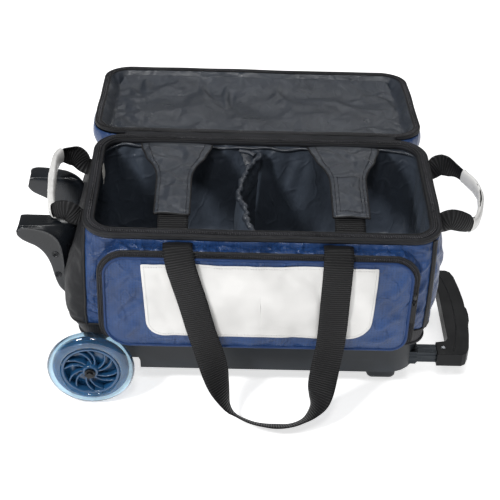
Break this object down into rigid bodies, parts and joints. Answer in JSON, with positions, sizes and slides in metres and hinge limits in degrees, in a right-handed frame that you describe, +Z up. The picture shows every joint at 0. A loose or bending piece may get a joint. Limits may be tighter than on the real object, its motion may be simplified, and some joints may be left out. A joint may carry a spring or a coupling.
{
  "type": "bowling ball bag",
  "caption": "Roller bag for bowling balls: fabric body on a moulded tray, wheels at one end, telescoping pull handle at the other, lid laid open.",
  "frame": {"origin": "on the floor, at the centre of the area that the bag with its open lid takes", "axes": "+X to the pull handle, -X to the wheels, -Y to the front pocket, +Z up"},
  "size_m": [0.676, 0.6312, 0.3029],
  "materials": {
    "navy_fabric": "ripstop polyester, slight sheen",
    "black_fabric": "matt woven polyester",
    "zip_and_binding": "binding tape with coil zip",
    "webbing": "flat woven webbing",
    "lining": "smooth nylon lining, slight sheen",
    "light_vinyl": "smooth light vinyl",
    "label": "plain woven label",
    "foam": "fabric covered foam",
    "board": "plain board",
    "tray_plastic": "fine moulded texture",
    "leg_plastic": "satin moulded plastic",
    "tube": "dark satin anodised",
    "screw_steel": "zinc plated",
    "dark_steel": "blackened",
    "pull_rubber": "moulded pull tab",
    "tyre": "clear tinted polyurethane, glossy",
    "hub": "tinted moulded plastic"
  },
  "bodies": {
    "bag": {"panel_front": "navy_fabric", "panel_back": "navy_fabric", "panel_right_end": "navy_fabric", "pocket_shell": "navy_fabric", "kick_band": "black_fabric", "panel_left_end": "black_fabric", "hinge_tape": "black_fabric", "rim_binding": "zip_and_binding", "pocket_zip": "zip_and_binding", "flap_webbing_left": "webbing", "flap_webbing_right": "webbing", "strap_root_left": "webbing", "strap_root_right": "webbing", "lining_wall": "lining", "divider": "lining", "pocket_panel": "light_vinyl", "care_label": "label", "cradle_left": "foam", "cradle_right": "foam", "base_board": "board", "base_tray": "tray_plastic", "foot_front": "tray_plastic", "foot_rear": "tray_plastic", "stand_leg_front": "leg_plastic", "stand_leg_rear": "leg_plastic", "outer_sleeve_front": "tube", "outer_sleeve_rear": "tube", "axle": "screw_steel", "leg_screw_front_1": "screw_steel", "leg_screw_front_2": "screw_steel", "leg_screw_rear_1": "screw_steel", "leg_screw_rear_2": "screw_steel", "hub_cap_front": "dark_steel", "hub_cap_rear": "dark_steel"},
    "wheel_front": {"tyre_front": "tyre", "wheel_hub_front": "hub"},
    "wheel_rear": {"tyre_rear": "tyre", "wheel_hub_rear": "hub"},
    "handle_stage1": {"stage1_tube_front": "tube", "stage1_tube_rear": "tube"},
    "handle_stage2": {"stage2_tube_front": "tube", "stage2_tube_rear": "tube", "pull_grip": "leg_plastic", "socket_screw_front": "screw_steel", "socket_screw_rear": "screw_steel"},
    "release_button": {"grip_button": "leg_plastic"},
    "lid": {"lid_shell": "navy_fabric", "lid_lining": "lining", "lid_zip": "zip_and_binding"},
    "hold_down_left": {"flap_left": "lining"},
    "hold_down_right": {"flap_right": "lining"},
    "strap_front": {"carry_strap_front": "webbing"},
    "strap_rear": {"carry_strap_rear": "webbing"},
    "end_handle_left": {"end_handle_left": "webbing", "end_grip_left": "light_vinyl"},
    "end_handle_right": {"end_handle_right": "webbing", "end_grip_right": "light_vinyl"},
    "pocket_slider": {"zip_slider": "dark_steel"},
    "pocket_pull": {"zip_pull": "pull_rubber"}
  },
  "joints": [
    {"name": "wheel_front_spin", "type": "hinge", "parent": "bag", "child": "wheel_front", "pos_m": [-0.234, -0.2364, 0.0635], "axis": [0, 1, 0], "continuous": true},
    {"name": "wheel_rear_spin", "type": "hinge", "parent": "bag", "child": "wheel_rear", "pos_m": [-0.234, 0.0636, 0.0635], "axis": [0, 1, 0], "continuous": true},
    {"name": "handle_stage1_slide", "type": "slide", "parent": "bag", "child": "handle_stage1", "axis": [1, 0, 0], "range_m": [0, 0.265]},
    {"name": "handle_stage2_slide", "type": "slide", "parent": "handle_stage1", "child": "handle_stage2", "axis": [1, 0, 0], "range_m": [0, 0.265]},
    {"name": "release_button_press", "type": "slide", "parent": "handle_stage2", "child": "release_button", "axis": [-1, 0, 0], "range_m": [0, 0.003], "stiffness_N_per_m": 400},
    {"name": "lid_hinge", "type": "hinge", "parent": "bag", "child": "lid", "pos_m": [0.008, 0.0496, 0.2912], "axis": [1, 0, 0], "range_deg": [0, 187]},
    {"name": "hold_down_left_hinge", "type": "hinge", "parent": "bag", "child": "hold_down_left", "pos_m": [-0.119, 0.0272, 0.284], "axis": [1, 0, 0], "range_deg": [-62, 0]},
    {"name": "hold_down_right_hinge", "type": "hinge", "parent": "bag", "child": "hold_down_right", "pos_m": [0.132, 0.0272, 0.284], "axis": [1, 0, 0], "range_deg": [-62, 0]},
    {"name": "strap_front_lift", "type": "hinge", "parent": "bag", "child": "strap_front", "pos_m": [0.008, -0.2294, 0.2794], "axis": [1, 0, 0], "range_deg": [-160, 0]},
    {"name": "strap_rear_lift", "type": "hinge", "parent": "bag", "child": "strap_rear", "pos_m": [0.008, 0.0496, 0.236], "axis": [-1, 0, 0], "range_deg": [-60, 0]},
    {"name": "end_handle_left_lift", "type": "hinge", "parent": "bag", "child": "end_handle_left", "pos_m": [-0.25, -0.0864, 0.3035], "axis": [0, -1, 0], "range_deg": [-70, 0]},
    {"name": "end_handle_right_lift", "type": "hinge", "parent": "bag", "child": "end_handle_right", "pos_m": [0.26, -0.0864, 0.3035], "axis": [0, 1, 0], "range_deg": [-70, 0]},
    {"name": "pocket_slider_slide", "type": "slide", "parent": "bag", "child": "pocket_slider", "axis": [0, 0, 1], "range_m": [-0.06, 0.02]},
    {"name": "pocket_pull_hinge", "type": "hinge", "parent": "pocket_slider", "child": "pocket_pull", "pos_m": [0.2216, -0.237, 0.199], "axis": [1, 0, 0], "range_deg": [-80, 0]}
  ]
}
